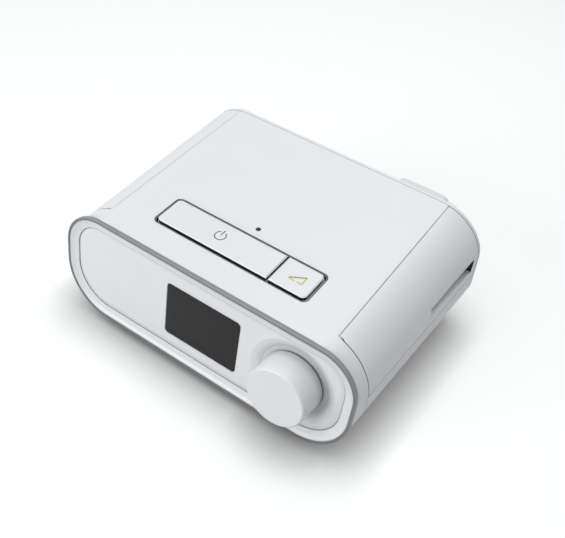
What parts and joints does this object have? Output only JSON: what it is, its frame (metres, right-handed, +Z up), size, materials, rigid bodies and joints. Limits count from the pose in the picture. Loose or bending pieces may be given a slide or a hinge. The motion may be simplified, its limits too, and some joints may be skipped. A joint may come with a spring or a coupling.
{
  "type": "cpap machine",
  "caption": "Low rounded sleep-therapy air machine: front dial and display, roof buttons, hinged side doors, rear air outlet and an inner blower.",
  "frame": {"origin": "on the floor, under the middle of the overall box", "axes": "+X to the right as seen from the front, +Y to the rear, +Z up"},
  "size_m": [0.1932, 0.1569, 0.0837],
  "materials": {
    "accessory_bay": "soft gloss white",
    "accessory_socket": "dark grey moulding",
    "air_box": "pale grey moulding",
    "air_box_lid": "pale grey moulding",
    "air_outlet_port": "soft gloss white",
    "base_housing": "pale cool white moulded shell, fine matt",
    "blower_mounts": "dark soft rubber",
    "board_parts": "dark grey moulding",
    "button_board": "green circuit board",
    "button_frame": "grey moulding",
    "button_switches": "dark grey moulding",
    "card_slot": "dark grey moulding",
    "case_screws": "bright steel",
    "control_board": "green circuit board",
    "dial_encoder": "bare aluminium",
    "dial_knob": "soft gloss white",
    "dial_shaft": "bright steel",
    "display_lens": "near-black gloss window",
    "display_module": "bare aluminium",
    "encoder_nut": "bright steel",
    "encoder_pusher": "dark grey moulding",
    "filter_bay": "soft gloss white",
    "filter_frame": "grey moulding",
    "fine_filter": "white filter felt",
    "flow_sensor": "dark grey moulding",
    "front_bezel_ring": "soft gloss white",
    "front_carrier": "dark grey moulding",
    "front_faceplate": "soft gloss white",
    "front_trim_ring": "mid grey",
    "hinge_pins": "bright steel",
    "humidifier_connector": "dark grey moulding",
    "impeller": "pale grey moulding",
    "intake_duct": "pale grey moulding",
    "intake_foam": "open-cell foam",
    "left_side_door": "pale cool white moulded door, fine matt",
    "light_sensor_window": "dark grey moulding",
    "main_board": "green circuit board",
    "memory_card": "dark grey moulding",
    "motor_bearings": "bright steel",
    "motor_housing": "bare aluminium",
    "motor_rotor": "bright steel",
    "motor_shaft": "bright steel",
    "motor_stator": "wound copper and steel",
    "outlet_duct": "pale silicone",
    "outlet_seal": "pale silicone",
    "pollen_filter": "white filter felt",
    "power_inlet": "dark grey moulding",
    "ramp_button": "white, soft satin",
    "rear_panel": "pale cool white moulded shell, fine matt",
    "right_filter_door": "pale cool white moulded door, fine matt",
    "rubber_feet": "dark soft rubber",
    "therapy_button": "white, soft satin",
    "top_cover": "pale cool white moulded shell, fine matt",
    "volute_base": "pale grey moulding",
    "volute_cover": "pale grey moulding"
  },
  "bodies": {
    "housing": {"accessory_bay": "accessory_bay", "accessory_socket": "accessory_socket", "air_box": "air_box", "air_box_lid": "air_box_lid", "air_outlet_port": "air_outlet_port", "base_housing": "base_housing", "blower_mounts": "blower_mounts", "board_parts": "board_parts", "button_board": "button_board", "button_frame": "button_frame", "button_switches": "button_switches", "card_slot": "card_slot", "case_screws": "case_screws", "control_board": "control_board", "dial_encoder": "dial_encoder", "display_lens": "display_lens", "display_module": "display_module", "encoder_nut": "encoder_nut", "filter_bay": "filter_bay", "filter_frame": "filter_frame", "fine_filter": "fine_filter", "flow_sensor": "flow_sensor", "front_bezel_ring": "front_bezel_ring", "front_carrier": "front_carrier", "front_faceplate": "front_faceplate", "front_trim_ring": "front_trim_ring", "hinge_pins": "hinge_pins", "humidifier_connector": "humidifier_connector", "intake_duct": "intake_duct", "intake_foam": "intake_foam", "light_sensor_window": "light_sensor_window", "main_board": "main_board", "motor_bearings": "motor_bearings", "motor_housing": "motor_housing", "motor_stator": "motor_stator", "outlet_duct": "outlet_duct", "outlet_seal": "outlet_seal", "pollen_filter": "pollen_filter", "power_inlet": "power_inlet", "rear_panel": "rear_panel", "rubber_feet": "rubber_feet", "top_cover": "top_cover", "volute_base": "volute_base", "volute_cover": "volute_cover"},
    "dial_push": {"encoder_pusher": "encoder_pusher"},
    "dial": {"dial_knob": "dial_knob", "dial_shaft": "dial_shaft"},
    "therapy_key": {"therapy_button": "therapy_button"},
    "ramp_key": {"ramp_button": "ramp_button"},
    "left_door": {"left_side_door": "left_side_door"},
    "right_door": {"right_filter_door": "right_filter_door"},
    "blower_rotor": {"impeller": "impeller", "motor_shaft": "motor_shaft", "motor_rotor": "motor_rotor"},
    "card": {"memory_card": "memory_card"}
  },
  "joints": [
    {"name": "dial_press", "type": "slide", "parent": "housing", "child": "dial_push", "axis": [0, 0.9976, -0.0698], "range_m": [0, 0.0005], "stiffness_N_per_m": 200, "springref_m": -0.0015},
    {"name": "dial_turn", "type": "hinge", "parent": "dial_push", "child": "dial", "pos_m": [0.0583, -0.06435, 0.03782], "axis": [0, -0.9976, 0.0698], "continuous": true},
    {"name": "therapy_button_press", "type": "slide", "parent": "housing", "child": "therapy_key", "axis": [0, 0.1063, -0.9943], "range_m": [0, 0.0006], "stiffness_N_per_m": 100, "springref_m": -0.0015},
    {"name": "ramp_button_press", "type": "slide", "parent": "housing", "child": "ramp_key", "axis": [0, 0.1063, -0.9943], "range_m": [0, 0.0006], "stiffness_N_per_m": 100, "springref_m": -0.0015},
    {"name": "left_door_hinge", "type": "hinge", "parent": "housing", "child": "left_door", "pos_m": [-0.0734, 0.00103, 0.07381], "axis": [0, 0.9938, 0.1108], "range_deg": [0, 55]},
    {"name": "right_door_hinge", "type": "hinge", "parent": "housing", "child": "right_door", "pos_m": [0.0734, 0.00103, 0.07381], "axis": [0, -0.9938, -0.1108], "range_deg": [0, 55]},
    {"name": "impeller_spin", "type": "hinge", "parent": "housing", "child": "blower_rotor", "pos_m": [0.018, 0.0198, 0.05], "axis": [0, 0, 1], "continuous": true},
    {"name": "card_eject", "type": "slide", "parent": "housing", "child": "card", "axis": [-1, 0, 0], "range_m": [0, 0.004]}
  ]
}
